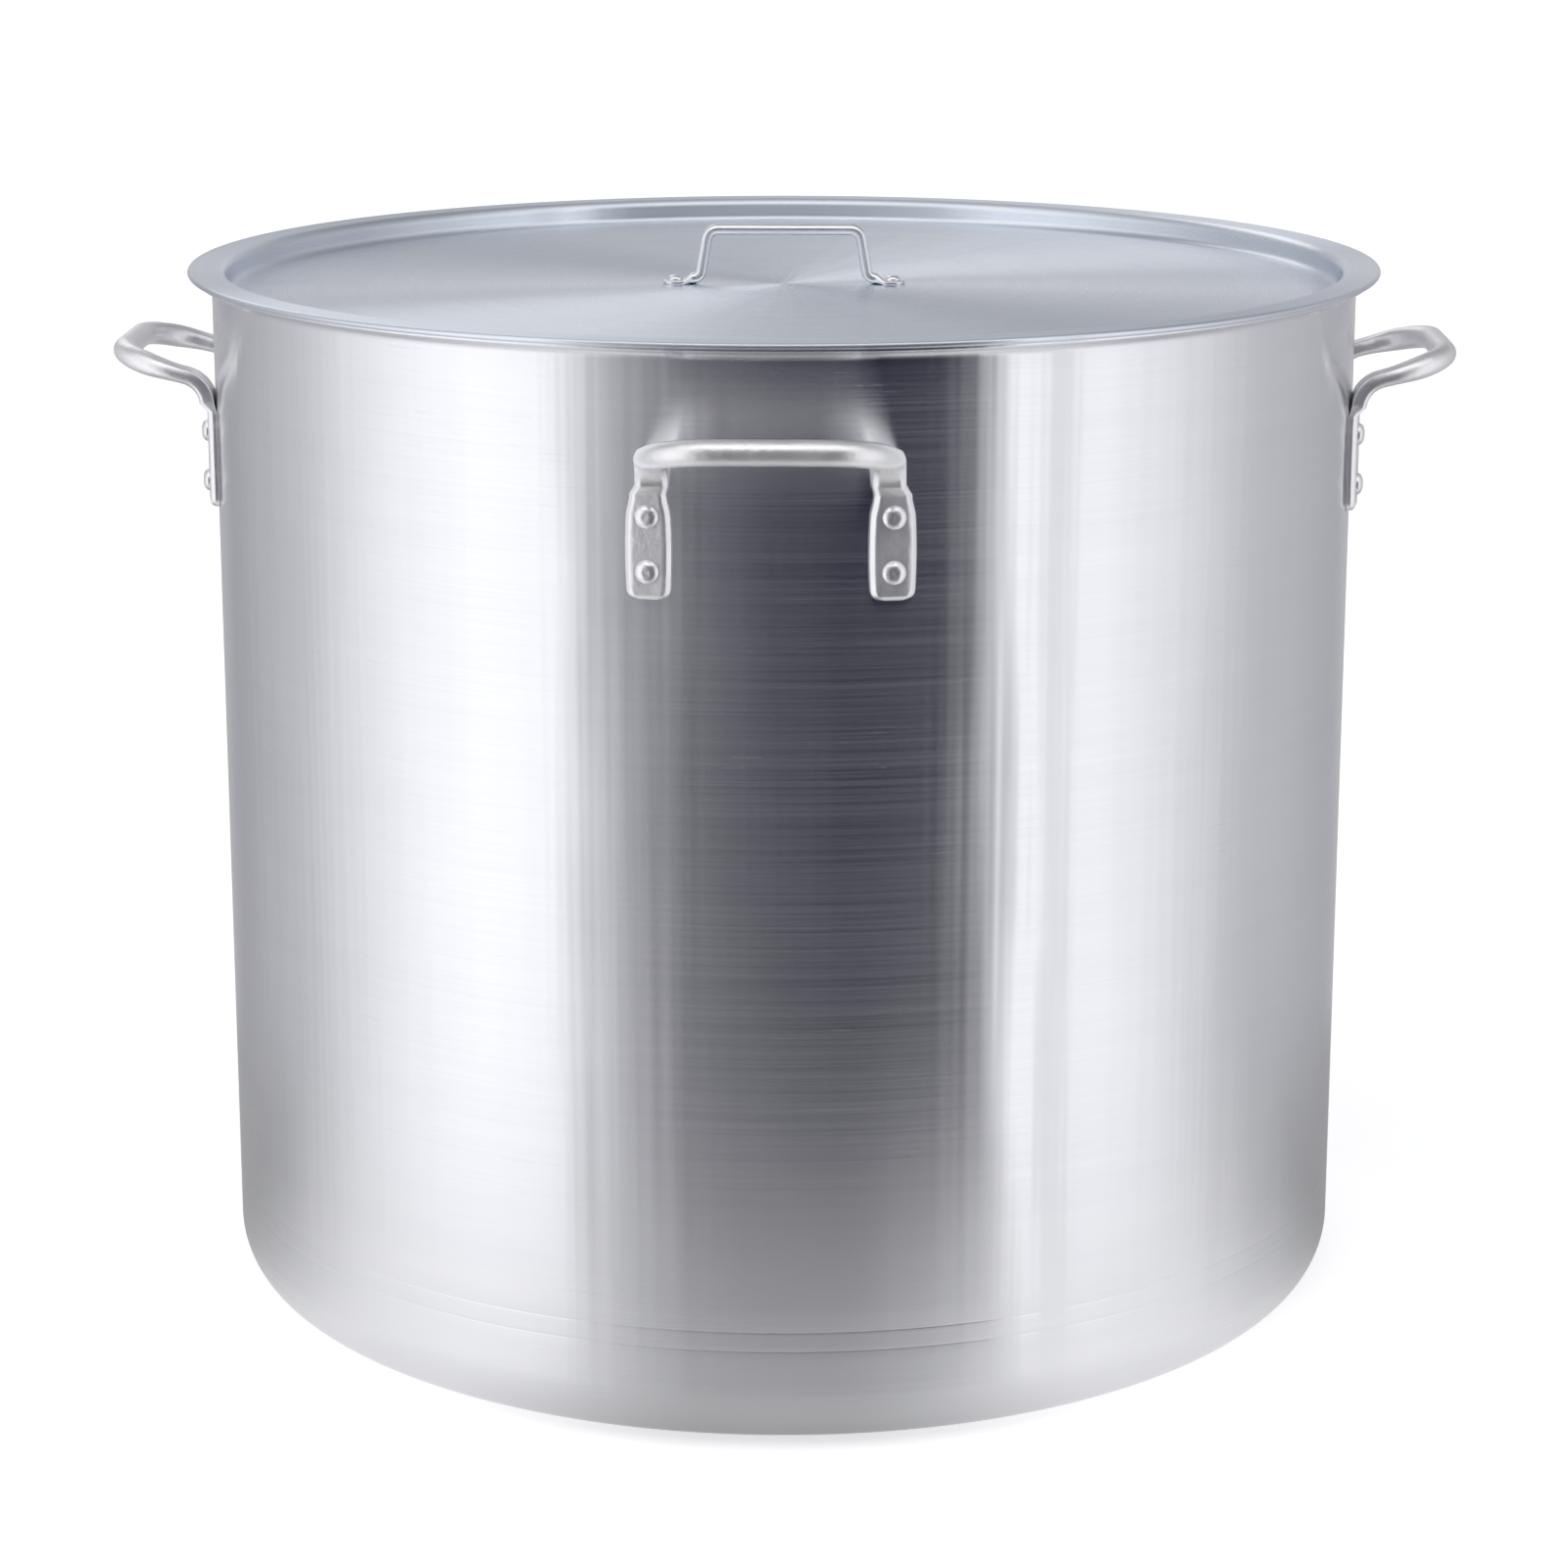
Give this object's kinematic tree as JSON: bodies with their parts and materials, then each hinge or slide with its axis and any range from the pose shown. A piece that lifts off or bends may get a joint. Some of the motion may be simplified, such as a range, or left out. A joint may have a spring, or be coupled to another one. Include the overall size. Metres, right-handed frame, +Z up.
{
  "type": "stock pot",
  "caption": "Large straight-sided round stock pot with an out-turned rim, riveted loop handles around its wall and a dished lift-off lid with a rod handle.",
  "frame": {"origin": "middle of the base's underside, on the pot's axis", "axes": "+Z up along the pot's axis, -Y towards the front handle, +X towards the right handle"},
  "size_m": [0.7164, 0.7164, 0.579],
  "materials": {
    "pot_wall": "spun and polished, fine turning lines",
    "lid_sheet": "spun, fine turning lines",
    "lid_handle_rod": "smooth drawn rod",
    "handle_metal": "satin-polished casting",
    "rivet_metal": "satin",
    "lid_rivet_metal": "satin"
  },
  "bodies": {
    "pot": {"pot_body": "pot_wall", "handle_front": "handle_metal", "handle_right": "handle_metal", "handle_back": "handle_metal", "handle_left": "handle_metal", "rivet_front_left_upper": "rivet_metal", "rivet_front_left_lower": "rivet_metal", "rivet_front_right_upper": "rivet_metal", "rivet_front_right_lower": "rivet_metal", "rivet_right_left_upper": "rivet_metal", "rivet_right_left_lower": "rivet_metal", "rivet_right_right_upper": "rivet_metal", "rivet_right_right_lower": "rivet_metal", "rivet_back_left_upper": "rivet_metal", "rivet_back_left_lower": "rivet_metal", "rivet_back_right_upper": "rivet_metal", "rivet_back_right_lower": "rivet_metal", "rivet_left_left_upper": "rivet_metal", "rivet_left_left_lower": "rivet_metal", "rivet_left_right_upper": "rivet_metal", "rivet_left_right_lower": "rivet_metal"},
    "lid": {"lid": "lid_sheet", "lid_handle": "lid_handle_rod", "lid_rivet_left": "lid_rivet_metal", "lid_rivet_right": "lid_rivet_metal"}
  },
  "joints": [
    {"name": "lid_lift", "type": "slide", "parent": "pot", "child": "lid", "axis": [0, 0, 1], "range_m": [0, 0.2]}
  ]
}
